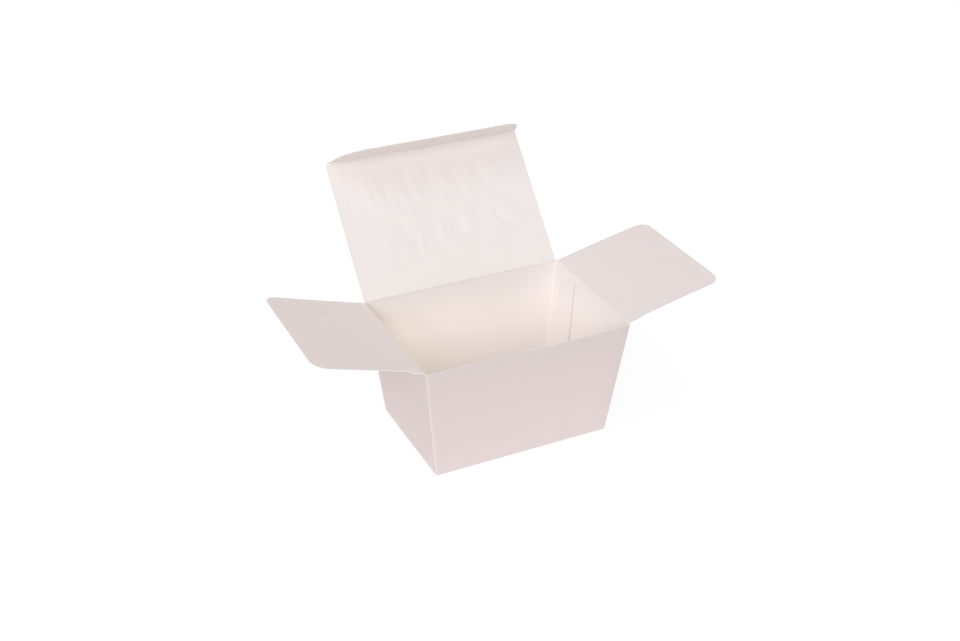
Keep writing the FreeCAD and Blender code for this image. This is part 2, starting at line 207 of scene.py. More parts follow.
def card_piece(name, sheets):
    """One object made of one or more closed sheets."""
    points, faces, materials, spread, fold_and_cut_shares = zip(*sheets)
    joined, start = [], 0
    for sheet_points, sheet_faces in zip(points, faces):
        joined += [tuple(int(start + v) for v in face) for face in sheet_faces]
        start += len(sheet_points)
    mesh = bpy.data.meshes.new(name)
    mesh.from_pydata(np.concatenate(points).tolist(), [], joined)
    mesh.polygons.foreach_set("material_index", np.concatenate(materials))
    for attribute, values in ((FLAT, spread), (FOLD_AND_CUT_NEARNESS, fold_and_cut_shares)):
        pairs = np.concatenate(values)
        stored = mesh.attributes.new(attribute, "FLOAT_VECTOR", "POINT")
        stored.data.foreach_set("vector", np.column_stack([pairs, np.zeros(len(pairs))]).ravel())

    work = bmesh.new()
    work.from_mesh(mesh)
    bmesh.ops.recalc_face_normals(work, faces=work.faces)
    work.to_mesh(mesh)
    work.free()
    mesh.shade_smooth()
    mesh.set_sharp_from_angle(angle=SHARP_ANGLE)
    piece = bpy.data.objects.new(name, mesh)
    bpy.context.scene.collection.objects.link(piece)
    print(name, len(mesh.polygons), "faces")
    return piece


# %% [markdown]
# ## The walls
#
# The walls are one strip: it starts in the fold of the glue tab at the back right corner, runs along the
# back, left, front and right walls, and ends in a raw edge beside its start. The box could be a tapered
# block with its inside cut away, but card never stays that flat. The front rim has no flap to stiffen it
# and bows out by half a millimetre, and each wall springs back a little beside its folds. That, with a
# highlight painted lighter along the fold, draws the soft light line down the front corner. So the strip's
# plan is worked out at each height, and two small swellings are added along each wall.

# %% Plan of the walls at each height
TOP_LENGTH = 2 * joints["right_flap_hinge"]["pos_m"][0]
CREASE_HEIGHT = joints["right_flap_hinge"]["pos_m"][2]
LID_CREASE = Vector(joints["lid_hinge"]["pos_m"])
TUCK_CREASE = Vector(joints["tuck_hinge"]["pos_m"])
TOP_DEPTH = 75.5 * MM
BASE_LENGTH, BASE_DEPTH = 95 * MM, 64 * MM
FOLD, FOOT_FOLD = 0.9 * MM, 0.45 * MM
BACK, LEFT, FRONT, RIGHT = "back left front right".split()
BOW = {BACK: 0.1 * MM, LEFT: 0.1 * MM, FRONT: 0.5 * MM, RIGHT: -0.2 * MM}
BOW_RISE = 1.3
SPRING_BACK, SPRING_REACH = 0.12 * MM, 2.5 * MM
FOOT_ROUNDING = 3 * MM


def half_plan(z):
    """Half the box's length and half its depth at a height, in the middle of the card."""
    share = z / CREASE_HEIGHT
    return (
        (BASE_LENGTH + (TOP_LENGTH - BASE_LENGTH) * share) / 2,
        (BASE_DEPTH + (TOP_DEPTH - BASE_DEPTH) * share) / 2,
    )


def swelling(wall, along, half, z):
    """How far a wall stands outside its flat plane. along is measured from the wall's middle."""
    share = np.clip(z / CREASE_HEIGHT, 0, 1)
    bowed = BOW[wall] * np.cos(np.clip(along / half, -1, 1) * math.pi / 2) * share**BOW_RISE
    from_fold = np.maximum(half - np.abs(along), 0)
    rounded_foot = np.clip((z - FOOT_FOLD) / FOOT_ROUNDING, 0, 1)
    return bowed + SPRING_BACK * (1 - np.exp(-from_fold / SPRING_REACH)) * rounded_foot


print("half plan at the rim:", [round(h / MM, 2) for h in half_plan(CREASE_HEIGHT)], "mm")

# %% [markdown]
# The strip is a grid. Each column is a place along the strip, and each row a place up the wall: a short run
# under the box, the fold at the foot, then the wall itself. Columns crowd in the folds and at the ends of
# the flaps, where the rim steps up from the flap's fold to a raw edge.

# %% Columns of the strip
FLAP_FRONT, FLAP_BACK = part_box("right_flap")[0].y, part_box("right_flap")[1].y
RIM_STEP = 0.1 * MM
CORNER_COLUMNS, LONG_WALL_COLUMNS, SIDE_WALL_COLUMNS = 9, 56, 34
COLUMN_CROWD = 0.7


def spaced(start, end, count, crowd=0.0):
    """Numbers from start to end, which crowd towards both ends as crowd goes to 1."""
    t = np.linspace(0, 1, count)
    eased = (1 - np.cos(math.pi * t)) / 2
    return start + (end - start) * (t * (1 - crowd) + eased * crowd)


def side_shares(first, last):
    """Columns of a side wall, some of them beside the two ends of its flap."""
    ends = [FLAP_FRONT - RIM_STEP, FLAP_FRONT, FLAP_BACK, FLAP_BACK + RIM_STEP]
    places = np.sort(np.concatenate([spaced(first, last, SIDE_WALL_COLUMNS, COLUMN_CROWD), ends]))
    return (places - first) / (last - first)


def strip_columns():
    """Each column is a wall with a share of its run, or a corner with the angle of its fold."""
    half_y = half_plan(CREASE_HEIGHT)[1]
    long_shares = spaced(0, 1, LONG_WALL_COLUMNS, COLUMN_CROWD)
    walls = [
        (BACK, 0, long_shares),
        (LEFT, 90, side_shares(FOLD - half_y, half_y - FOLD)[::-1]),
        (FRONT, 180, long_shares),
        (RIGHT, 270, side_shares(FOLD - half_y, half_y + CARD / 2)),
    ]
    columns = []
    for wall, turned, shares in walls:
        # Only the glue tab's fold starts with a column of its own. The others start in the wall before.
        angles = np.linspace(turned, turned + 90, CORNER_COLUMNS)[0 if wall == BACK else 1:-1]
        columns += [(wall, None, a) for a in angles] + [(wall, t, None) for t in shares]
    return columns


print("columns:", len(strip_columns()))

# %% [markdown]
# A column of a corner stands on the arc of its fold, and a column of a wall on the wall's plan with its two
# swellings. Under a flap or the lid the card ends in their fold, so there the walls stop a little lower.

# %% Points of the strip
FOLD_RUN = 0.45 * MM
SMALLEST_FOLD = 0.05 * MM
RAW_RIM = CREASE_HEIGHT - 0.05 * MM
RIM_TOLERANCE = 0.01 * MM


def strip_point(wall, share, angle, inset, z):
    """A point in the middle of the card. inset moves it towards the middle of the box."""
    half_x, half_y = half_plan(z)
    half_x, half_y = half_x - inset, half_y - inset
    fold = max(FOLD - inset, SMALLEST_FOLD)
    if share is None:
        x = (half_x - fold) * (1 if angle < 90 or angle > 270 else -1)
        y = (half_y - fold) * (1 if angle < 180 else -1)
        if wall == BACK:
            # This is the glue tab's fold, and the tab lies inside the right wall.
            x -= CARD
        return x + fold * math.cos(math.radians(angle)), y + fold * math.sin(math.radians(angle))
    if wall == BACK:
        x = half_x - CARD - fold - share * (2 * half_x - CARD - 2 * fold)
        return x, half_y + swelling(BACK, x, half_x, z)
    if wall == FRONT:
        x = (fold - half_x) * (1 - 2 * share)
        return x, -half_y - swelling(FRONT, x, half_x, z)
    if wall == LEFT:
        y = (fold - half_y) * (1 - 2 * share)
        return -half_x - swelling(LEFT, y, half_y, z), y
    y = fold - half_y + share * (2 * half_y - fold + CARD / 2)
    return half_x + swelling(RIGHT, y, half_y, z), y


def rim_height(wall, along):
    """Where the card of a wall ends. Under a flap or the lid it ends where their own sheet begins."""
    if wall == BACK:
        return LID_CREASE.z - FOLD_RUN
    if wall == FRONT or along is None:
        return RAW_RIM
    under_flap = FLAP_FRONT < along + RIM_TOLERANCE and along - RIM_TOLERANCE < FLAP_BACK
    return CREASE_HEIGHT - FOLD_RUN if under_flap else RAW_RIM


print("rim: raw at", round(RAW_RIM / MM, 2), "mm, folded at", round((CREASE_HEIGHT - FOLD_RUN) / MM, 2), "mm")

# %% The strip of walls
FOOT_RUN = 1.2 * MM
WALL_ROWS, ROW_CROWD = 44, 0.8


def wall_strip():
    """The closed sheet of the four walls, with the folds at their corners and at their foot."""
    columns = strip_columns()
    foot = [(t, CARD / 2) for t in np.linspace(FOOT_RUN, FOOT_FOLD, 4)]
    for a in np.linspace(0, math.pi / 2, 7)[1:]:
        foot.append((FOOT_FOLD * (1 - math.sin(a)), CARD / 2 + FOOT_FOLD * (1 - math.cos(a))))
    climb = spaced(0, 1, WALL_ROWS, ROW_CROWD)[1:]
    start = foot[-1][1]
    grid = np.zeros((len(foot) + len(climb), len(columns), 3))
    flat = np.zeros((len(foot) + len(climb), len(columns), 2))
    folded = np.zeros((len(foot) + len(climb), len(columns)))
    along_strip = 0.0
    before = strip_point(*columns[0], 0, CREASE_HEIGHT)
    for c, (wall, share, angle) in enumerate(columns):
        here = strip_point(wall, share, angle, 0, CREASE_HEIGHT)
        along_strip += math.dist(here, before)
        before = here
        rise = rim_height(wall, None if share is None else here[1]) - start
        for r, (inset, z) in enumerate(foot + [(0, start + rise * t) for t in climb]):
            grid[r, c] = (*strip_point(wall, share, angle, inset, z), z)
            flat[r, c] = along_strip, z - inset
            # Beside a corner fold the outer face is lightened: cracked varnish, and a painted highlight down
            # the fold.
            folded[r, c] = 0.0 if angle is None else math.sin(math.radians(angle) * 2) ** 2
    print("strip:", grid.shape[0], "rows,", grid.shape[1], "columns,", round(along_strip / MM, 1), "mm long")
    # The middle of the grid is near the front left corner, where inward is towards +X and +Y.
    return card_mesh(grid, (1, 1, 0), flat, 0.0, (0.0, folded))


wall_sheet = wall_strip()

# %% [markdown]
# ## The glue tab
#
# The glue tab goes on from the strip's first fold and lies against the inside of the right wall. It is glued
# only near the fold, so its free edge stands off the wall by a hair, and that gap is the fine dark line
# inside the box. It could be a plane with its ends cut off. Here it is a ruled grid: straight lines from one
# edge to the other, with the edges given as functions. That draws the sloped ends without cutting anything.

# %% Glue tab
TAB_WIDTH = 21.5 * MM
TAB_STAND_OFF, STAND_OFF_POWER = 0.3 * MM, 6
TAB_INSET, TAB_SLOPE = 1.0 * MM, 2.2 * MM


def ruled_sheet(stations, low, high, place, columns, inward):
    """A sheet ruled between two edges. low and high give the edges at a station, and place turns a
    station and a place between the edges into a point."""
    grid = np.zeros((len(stations), len(columns), 3))
    flat = np.zeros((len(stations), len(columns), 2))
    for r, s in enumerate(stations):
        start, end = low(s), high(s)
        for c, t in enumerate(columns):
            across = start + (end - start) * t
            grid[r, c] = place(s, across)
            flat[r, c] = across, s
    return card_mesh(grid, inward, flat)


def tab_point(out, z):
    """A point of the tab. out is measured from the fold towards its free edge."""
    half_x, half_y = half_plan(z)
    stand_off = TAB_STAND_OFF * (out / TAB_WIDTH) ** STAND_OFF_POWER
    return half_x - CARD - stand_off + swelling(RIGHT, half_y - out, half_y, z), half_y - FOLD - out, z


def tab_end(out):
    """How far the tab ends short of the table and of the rim. Both ends slope."""
    return TAB_INSET + TAB_SLOPE * out / TAB_WIDTH


tab_sheet = ruled_sheet(
    spaced(0, TAB_WIDTH - FOLD, 20, 0.5),
    tab_end,
    lambda out: CREASE_HEIGHT - tab_end(out),
    tab_point,
    spaced(0, 1, 24, 0.5),
    (-1, 0, 0),
)
print("tab:", [round(tab_end(out) / MM, 2) for out in (0, TAB_WIDTH)], "mm short at its fold and free edge")

# %% [markdown]
# ## The bottom
#
# The bottom locks by itself. Two main flaps meet in a seam that steps from one side of the middle to the
# other, and two side flaps, each with one corner cut off, lie on them. One slab would do for a closed box,
# but this one is open, so its seam and its overlaps show from above. They are ruled grids as the tab is, and
# the functions of their edges draw the step and the cut corners.

# %% Bottom flaps
SEAM_HOOK, SEAM_STEP, SEAM_GAP = 5 * MM, 12 * MM, 0.15 * MM
SIDE_FLAP_REACH = 26 * MM
SIDE_FLAP_INSET = 0.8 * MM
SIDE_FLAP_HEIGHT = 1.55 * CARD
bottom_x, bottom_y = (half - FOOT_RUN for half in half_plan(CARD / 2))
main_stations = np.sort(np.concatenate([
    spaced(-bottom_x, bottom_x, 40, 0.5),
    [SEAM_STEP - SEAM_GAP, SEAM_STEP + SEAM_GAP],
]))


def seam(x, side):
    """The edge of a main bottom flap at the open seam. side is 1 for the back flap, -1 for the front one."""
    before_step = x < SEAM_STEP + side * SEAM_GAP / 2
    return (SEAM_HOOK if before_step else -SEAM_HOOK) + side * SEAM_GAP


def main_bottom(low, high):
    """A main bottom flap lies on the table."""
    return ruled_sheet(
        main_stations, low, high, lambda x, y: (x, y, CARD / 2), spaced(0, 1, 14), (0, 0, 1)
    )


def side_bottom(side):
    """A side bottom flap lies on the main ones. One of its corners is cut off at 45 degrees."""
    root_x, root_y = half_plan(1.5 * CARD)
    root_x, root_y = root_x - CARD / 2, root_y - SIDE_FLAP_INSET
    return ruled_sheet(
        spaced(0, SIDE_FLAP_REACH, 18),
        lambda s: -side * root_y,
        lambda s: side * (root_y - s),
        lambda s, y: (side * (root_x - s), y, SIDE_FLAP_HEIGHT),
        spaced(0, 1, 16),
        (0, 0, 1),
    )


back_main = main_bottom(lambda x: seam(x, 1), lambda x: bottom_y)
front_main = main_bottom(lambda x: -bottom_y, lambda x: seam(x, -1))
box_walls = card_piece("box_walls", [
    wall_sheet, tab_sheet, back_main, front_main, side_bottom(-1), side_bottom(1)
])
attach(box_walls, "box")
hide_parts("box_body")

# %% [markdown]
# ## Flaps that turn on a crease
#
# The two dust flaps and the lid go on from a wall, and the tuck flap goes on from the lid. Each is drawn in
# its own plane: first the way that the card takes through its fold, then straight on. A short arc, tangent
# to both directions, stands for the fold. Its inner face carries the bead that the creasing rule pushed up.

# %% The way through a fold
FOLD_POINTS, CLEAR_OF_FOLD = 13, 1.05


def heading(angle):
    """The unit vector at an angle, in radians."""
    return np.array([math.cos(angle), math.sin(angle)])


def fold_line(before, after, stations):
    """Points of the card's middle across a fold, seen along the crease, which is at (0, 0). before and
    after are the directions of the card, in degrees. Gives each point with its distance past the crease."""
    before, after = math.radians(before), math.radians(after)
    turn = after - before
    radius = FOLD_RUN / math.tan(abs(turn) / 2)
    sense = math.copysign(1, turn)
    centre = -FOLD_RUN * heading(before) + sense * radius * heading(before + math.pi / 2)
    line = []
    for t in np.linspace(0, 1, FOLD_POINTS):
        angle = before + turn * t
        line.append((centre - sense * radius * heading(angle + math.pi / 2), FOLD_RUN * (2 * t - 1)))
    line += [(s * heading(after), s) for s in stations if s > FOLD_RUN * CLEAR_OF_FOLD]
    return line


print("fold:", round(2 * FOLD_RUN / MM, 2), "mm of card,", FOLD_POINTS, "points")

# %% A sheet along a fold
BEAD_HEIGHT, BEAD_WIDTH = 0.12 * MM, 0.25 * MM
CUT_REACH, CUT_GREY_START = 0.4 * MM, 1.0 * MM
# Columns close to the two sides of a sheet, where the greying near a cut edge changes quickly.
EDGE_COLUMNS = [0.003, 0.006, 0.994, 0.997]


def cut_share(distance):
    """How much a face is greyed at a distance from a cut edge, from 1 at the edge down to 0."""
    return np.exp(-((np.asarray(distance) / CUT_REACH) ** 2))


def folded_sheet(line, crease, out, edges, columns, warp):
    """The sheet along a fold line. crease is a point of the crease and out the level direction that the
    fold line's first number is measured along. edges gives the sheet's two sides at a station, and warp
    moves a point of it towards the inner side."""
    out = np.array(out, float)
    across = np.array([abs(out[1]), abs(out[0]), 0.0])
    columns = np.sort(np.concatenate([columns, EDGE_COLUMNS]))
    grid = np.zeros((len(line), len(columns), 3))
    flat = np.zeros((len(line), len(columns), 2))
    bead = np.zeros((len(line), len(columns)))
    cut = np.zeros((len(line), len(columns)))
    end = line[-1][1]
    for r, ((h, v), s) in enumerate(line):
        low, high = edges(s)
        for c, t in enumerate(columns):
            y = low + (high - low) * t
            grid[r, c] = np.array(crease) + out * h + np.array([0, 0, v]) + across * y
            flat[r, c] = y, s
            bead[r, c] = math.exp(-((s / BEAD_WIDTH) ** 2))
            # Near a cut edge, from 1 mm past the crease on, the face is made greyer and darker.
            cut[r, c] = cut_share(min(y - low, high - y, end - s)) * min(max(s, 0) / CUT_GREY_START, 1)
    after = line[-1][0] - line[-2][0]
    after /= np.linalg.norm(after)
    inward = out * -after[1] + np.array([0, 0, after[0]])
    for r, (_, s) in enumerate(line):
        for c in range(len(columns)):
            grid[r, c] += inward * warp(s, flat[r, c][0])
    # The bead's share also lightens both faces along the crease, for cracked varnish and a painted highlight.
    return card_mesh(grid, inward, flat, bead * BEAD_HEIGHT, (bead, bead), cut)


# %% Finishing a folded piece
def blend_at_fold(piece, child, line, crease, out):
    """Bakes the piece's transform into its mesh and prints the fold's length. The ends of the fold, less the
    lean of the card's end there, are worked out but not used.
    """
    first, last = line[0][0], line[FOLD_POINTS - 1][0]
    chord = last - first
    length = np.linalg.norm(chord)
    lean = abs((line[1][0] - line[0][0]) @ np.array([-chord[1], chord[0]])) / length
    lean /= np.linalg.norm(line[1][0] - line[0][0])
    trim = chord / length * CARD / 2 * lean
    corner = np.array(crease)

    def point(p):
        return corner + np.array(out, float) * p[0] + np.array([0, 0, p[1]])

    tuple(point(first + trim))
    tuple(point(last - trim))
    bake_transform(piece)
    print(child, "folds over", round(length / MM, 2), "mm")


# %% [markdown]
# ## The dust flaps
#
# A dust flap is a plain panel with two large rounded corners. Its front edge steps in a few millimetres
# from the crease. When the box shuts, the ends of the tuck flap lock under that step. Its outline could be
# cut from a plane, but two edges given as functions keep the grid whole, and a whole grid can bend.

# %% Outline of a dust flap
FLAP_REACH = TOP_LENGTH / 2 - 0.05 * MM
FLAP_CORNER = 6.5 * MM
STEP_START, STEP_END = 4.4 * MM, 8.4 * MM
# Where the front edge runs past its step, on the right flap (1) and on the left one (-1).
FLAP_FRONT_PAST_STEP = {1: -35.6 * MM, -1: -34.2 * MM}


def smooth_step(x, start, end):
    """Rises smoothly from 0 at start to 1 at end."""
    t = min(max((x - start) / (end - start), 0), 1)
    return t * t * (3 - 2 * t)


def corner_cut(s, reach, radius):
    """How far a rounded corner draws the side in, at a distance from the crease."""
    past = max(s - (reach - radius), 0)
    return radius - math.sqrt(max(radius**2 - past**2, 0))


def flap_edges(s, side):
    """The front and the back edge of a dust flap at a distance from its crease."""
    front = FLAP_FRONT + (FLAP_FRONT_PAST_STEP[side] - FLAP_FRONT) * smooth_step(s, STEP_START, STEP_END)
    drawn_in = corner_cut(s, FLAP_REACH, FLAP_CORNER)
    return front + drawn_in, FLAP_BACK - drawn_in


# Distances from the crease: beside the fold, across the step, over the panel and round the corners.
flap_stations = np.concatenate([
    spaced(0.5 * MM, 3.5 * MM, 5),
    spaced(STEP_START, STEP_END, 9),
    spaced(10 * MM, FLAP_REACH - FLAP_CORNER, 26),
    FLAP_REACH - FLAP_CORNER + FLAP_CORNER * np.sin(np.linspace(0, math.pi / 2, 14)[1:]),
])
print("dust flap:", round(FLAP_REACH / MM, 2), "by", round((FLAP_BACK - FLAP_FRONT) / MM, 2), "mm")

# %% [markdown]
# Handled card is never quite flat. The right flap hangs a little at its front corner, and the left one
# curls up a little at its back edge. Each bend is one smooth function that moves the grid's points.

# %% Dust flaps
OPEN_ANGLE = {name: -joint["range_deg"][0] for name, joint in joints.items()}
WALL_LEAN = math.degrees(math.atan((TOP_LENGTH - BASE_LENGTH) / 2 / CREASE_HEIGHT))
RIGHT_BULGE, RIGHT_DROOP, RIGHT_CORNER_DROOP = 0.25 * MM, 0.15 * MM, 0.15 * MM
LEFT_CURL, LEFT_SAG = 0.4 * MM, 0.1 * MM


def right_flap_warp(s, y):
    share = max(s, 0) / FLAP_REACH
    towards_front = (FLAP_BACK - y) / (FLAP_BACK - FLAP_FRONT)
    droop = RIGHT_DROOP + RIGHT_CORNER_DROOP * towards_front**2
    return RIGHT_BULGE * math.sin(math.pi * share) - droop * share**2


def left_flap_warp(s, y):
    share = max(s, 0) / FLAP_REACH
    towards_back = (y - FLAP_FRONT) / (FLAP_BACK - FLAP_FRONT)
    return LEFT_CURL * share**2 * towards_back**2 - LEFT_SAG * math.sin(math.pi * share)


def dust_flap(name, body, joint, side, warp):
    """A dust flap in place of its CAD part. side is 1 for the right one, -1 for the left one."""
    line = fold_line(90 - WALL_LEAN, 180 - OPEN_ANGLE[joint], flap_stations)
    crease = (side * TOP_LENGTH / 2, 0, CREASE_HEIGHT)
    sheet = folded_sheet(
        line, crease, (side, 0, 0), lambda s: flap_edges(s, side), spaced(0, 1, 44, 0.6), warp
    )
    piece = card_piece(name, [sheet])
    blend_at_fold(piece, body, line, crease, (side, 0, 0))
    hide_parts(body)
    return piece


right_flap_sheet = dust_flap("right_flap_sheet", "right_flap", "right_flap_hinge", 1, right_flap_warp)
left_flap_sheet = dust_flap("left_flap_sheet", "left_flap", "left_flap_hinge", -1, left_flap_warp)

# %% [markdown]
# ## The lid
#
# The lid panel is pressed with a soft ornament: two tiers of plain upright leaves, blind, with no colour.
# A bump in the material would fake it, but the pressing moves the card itself, so it shows on both faces
# and along low light. Here it moves the middle of the sheet by 0.3 mm, on a grid fine enough for its soft
# edges.

# %% Pressed leaves
PRESS_DEPTH = 0.33 * MM
# A leaf falls softly from its full height near its middle to nothing on the ring that is its foot.
LEAF_BEND, LEAF_TOP, LEAF_FOOT = 0.5, -0.1, 1.9
MIDRIB_DEPTH, MIDRIB_WIDTH = 0.45, 0.15
# Each leaf: its middle across and up the lid, its length and width, all in mm, and its slant in degrees.
LEAVES = [
    (-34, 53, 22, 10, -72), (-21, 47, 32, 11, -78), (-8, 54, 23, 10, -71), (6, 48, 26, 13, -63),
    (21, 47, 26, 12, -57), (33, 55, 18, 9, -66),
    (-29, 25, 20, 13, -50), (-13, 20, 26, 10, -80), (1, 22, 24, 11, -70), (16, 25, 28, 9, -64),
    (27, 25, 22, 9, -58), (37, 31, 18, 8, -52),
]


def pressed(s, x):
    """How far the ornament moves the card at a point of the lid."""
    total = 0.0
    for across, up_lid, length, width, slant in LEAVES:
        dx, dy = x / MM - across, s / MM - up_lid
        a = math.radians(slant)
        along, beside = dx * math.cos(a) + dy * math.sin(a), dy * math.cos(a) - dx * math.sin(a)
        beside -= LEAF_BEND * along**2 / length
        ring = (2 * along / length) ** 2 + (2 * beside / width) ** 2
        if ring < LEAF_FOOT:
            midrib = MIDRIB_DEPTH * math.exp(-((beside / (MIDRIB_WIDTH * width)) ** 2))
            total = max(total, (1 - smooth_step(ring, LEAF_TOP, LEAF_FOOT)) * (1 - midrib))
    return PRESS_DEPTH * total


print(len(LEAVES), "leaves, pressed up to", round(PRESS_DEPTH / MM, 2), "mm")

# %% [markdown]
# The lid is also a little crowned, so that it clears the dust flaps when it is shut. Pressing has left it
# slightly buckled, and it curls back along its left side. Like the leaves, each of these is a function of
# the place on the sheet, and their sum moves the grid.

# %% Lid
LID_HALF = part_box("lid_panel")[1].x
LID_LENGTH = math.dist(LID_CREASE, TUCK_CREASE)
LID_END = LID_LENGTH - 0.3 * MM
LID_CORNER = 0.8 * MM
LEFT_FLARE, RIGHT_INSET = 0.6 * MM, 0.3 * MM
BACK_LEAN = math.degrees(math.atan((TOP_DEPTH - BASE_DEPTH) / 2 / CREASE_HEIGHT))
CROWN_HEIGHT, BUCKLE_DEPTH = 0.8 * MM, 0.17 * MM
CURL_HEIGHT, CURL_REACH = 0.35 * MM, 0.3
# How far across and how far up the lid each wave of the buckle turns by one radian.
FIRST_WAVE, SECOND_WAVE = (3.1 * MM, 9 * MM), (11 * MM, 4.3 * MM)


def buckled(s, x):
    """Two waves that cross, from -1 to 1."""
    first = x / FIRST_WAVE[0] + s / FIRST_WAVE[1]
    second = s / SECOND_WAVE[1] - x / SECOND_WAVE[0]
    return math.sin(first) * math.cos(second)


def lid_warp(s, x):
    """How far the lid's card leaves its plane: the ornament inwards, the crown and the curl outwards."""
    share = max(s, 0) / LID_LENGTH
    across = (x + LID_HALF) / (2 * LID_HALF)
    arch = math.sin(math.pi * share) * math.sin(math.pi * across)
    crown = (CROWN_HEIGHT - BUCKLE_DEPTH * buckled(s, x)) * arch
    curl = (max(CURL_REACH - across, 0) / CURL_REACH) ** 2 * min(share * 4, 1)
    return pressed(s, x) - crown - CURL_HEIGHT * (1 + share) * curl


lid_stations = np.concatenate([
    spaced(0.5 * MM, LID_END - MM, 96, 0.1),
    spaced(LID_END - LID_CORNER, LID_END, 5),
])
lid_line = fold_line(90 - BACK_LEAN, 180 - OPEN_ANGLE["lid_hinge"], lid_stations)


def lid_edges(s):
    """The lid's left and right edge at a distance from its crease. The left one flares at the crease."""
    half = LID_HALF - corner_cut(s, LID_END, LID_CORNER)
    return -half - LEFT_FLARE * (1 - s / LID_END), half - RIGHT_INSET


lid_sheet = card_piece("lid_sheet", [
    folded_sheet(lid_line, LID_CREASE, (0, 1, 0), lid_edges, spaced(0, 1, 130, 0.15), lid_warp)
])
blend_at_fold(lid_sheet, "lid", lid_line, LID_CREASE, (0, 1, 0))
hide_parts("lid_panel")

# %% [markdown]
# ## The tuck flap
#
# The tuck flap goes on from the lid's free edge and folds forward. A slit at each end of its crease frees
# its shoulders, so that they can catch under the dust flaps. Its tip is rounded so that it finds its way in.

# %% Tuck flap
TUCK_LENGTH = 19.5 * MM
TUCK_CORNER = 11 * MM
CREASE_HALF = 46.2 * MM
SHOULDER_HALF = 54.2 * MM
SHOULDER_DROP = 0.12 * MM
SIDE_TAPER = math.tan(math.radians(15))
TUCK_BULGE, TUCK_CURL = 0.2 * MM, 0.5 * MM


def tuck_edges(s):
    """The tuck flap's two sides at a distance from its crease. The shoulders start past the slits."""
    if s <= SHOULDER_DROP:
        return -CREASE_HALF, CREASE_HALF
    half = SHOULDER_HALF - (s - SHOULDER_DROP) * SIDE_TAPER - corner_cut(s, TUCK_LENGTH, TUCK_CORNER)
    return -half, half


def tuck_warp(s, x):
    share = max(s, 0) / TUCK_LENGTH
    bulge = math.cos(x / SHOULDER_HALF * math.pi / 2)
    return TUCK_BULGE * share * bulge + TUCK_CURL * share**2


tuck_stations = np.concatenate([
    [0.6 * MM, 1.1 * MM],
    spaced(1.8 * MM, TUCK_LENGTH - TUCK_CORNER, 8),
    TUCK_LENGTH - TUCK_CORNER + TUCK_CORNER * np.sin(np.linspace(0, math.pi / 2, 18)[1:]),
])
lid_heading = 180 - OPEN_ANGLE["lid_hinge"]
tuck_line = fold_line(lid_heading, lid_heading + OPEN_ANGLE["tuck_hinge"], tuck_stations)
tuck_sheet = card_piece("tuck_sheet", [
    folded_sheet(tuck_line, TUCK_CREASE, (0, 1, 0), tuck_edges, spaced(0, 1, 70, 0.6), tuck_warp)
])
blend_at_fold(tuck_sheet, "tuck", tuck_line, TUCK_CREASE, (0, 1, 0))
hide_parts("tuck_flap")

# %% [markdown]
# ## Shader maths
#
# A finish is easiest to read as arithmetic. This small class wraps the output of a node, so that a sum or a
# product of values adds the Math node by itself. Every other kind of node comes from its one method.

# %% A wrapper for node sockets
class Wire:
    """One output of a node. Sums and products of values add Math nodes."""

    def __init__(self, tree, socket=None):
        self.tree = tree
        self.socket = socket

    def node(self, kind, settings, sockets, output=0):
        """Adds a node: its type, its settings, then the values or wires of its sockets."""
        made = self.tree.nodes.new(kind)
        for name, value in settings.items():
            setattr(made, name, value)
        for name, value in sockets.items():
            if isinstance(value, Wire):
                self.tree.links.new(value.socket, made.inputs[name])
            else:
                made.inputs[name].default_value = value
        return Wire(self.tree, made.outputs[output])

    def math(self, operation, first, second):
        return self.node("ShaderNodeMath", {"operation": operation}, {0: first, 1: second})

    def __add__(self, other):
        return self.math("ADD", self, other)

    def __radd__(self, other):
        return self.math("ADD", other, self)

    def __sub__(self, other):
        return self.math("SUBTRACT", self, other)

    def __rsub__(self, other):
        return self.math("SUBTRACT", other, self)

    def __mul__(self, other):
        return self.math("MULTIPLY", self, other)

    def __rmul__(self, other):
        return self.math("MULTIPLY", other, self)


print("Wire adds a Math node for each +, - and *")

# %% [markdown]
# ## Pearl card
#
# The card is coated on both sides with a thin pearl varnish: pale pink outside, a shade creamier inside.
# Close up it has the fine grain of paper fibres under the varnish and a faint cloudiness a few millimetres
# wide. A flat colour would miss both. Grain moves the normal by a bump and varies the roughness a little,
# and cloudiness shifts the colour by less than one part in a hundred. Along a fold the varnish is cracked,
# so it is duller there, and whiter, partly from the cracks and partly as a painted highlight. Along a cut
# edge the face is a shade greyer and darker. All of it follows the flat sheet. The inner faces of the two
# dust flaps take copies of the inside colour: the left one lighter and pinker, which is painted light, and
# the right one a shade darker and pinker, which is painted shade.

# %% Colours of the card
OUTSIDE_COLOUR = (0.709, 0.620, 0.614)
INSIDE_COLOUR = (0.897, 0.837, 0.819)
# The dust flaps' inner faces are copies of the inside colour with painted light and shade: the right one is a
# shade darker and pinker, the left one lighter and pinker.
RIGHT_FLAP_PAINTED_SHADE_COLOUR = (0.884, 0.794, 0.780)
LEFT_FLAP_PAINTED_LIGHT_COLOUR = (0.970, 0.860, 0.833)
EDGE_COLOUR = (0.88, 0.84, 0.82)


def shade(colour, share):
    """A colour times a share, with the alpha that a colour socket takes."""
    return (*(c * share for c in colour), 1.0)


print("outside", OUTSIDE_COLOUR, "inside", INSIDE_COLOUR)

# %% [markdown]
# ## Pressed dashes
#
# Inside, each dust flap also carries a few faint dashes, the trace of something that lay under the card. Cut
# into the mesh they would need a much finer grid, and they are too faint for that. So each dash is a mask:
# the place on the flat sheet is moved and turned to the dash's own middle and slant and scaled to its size,
# and its distance from there says how far the dash goes.

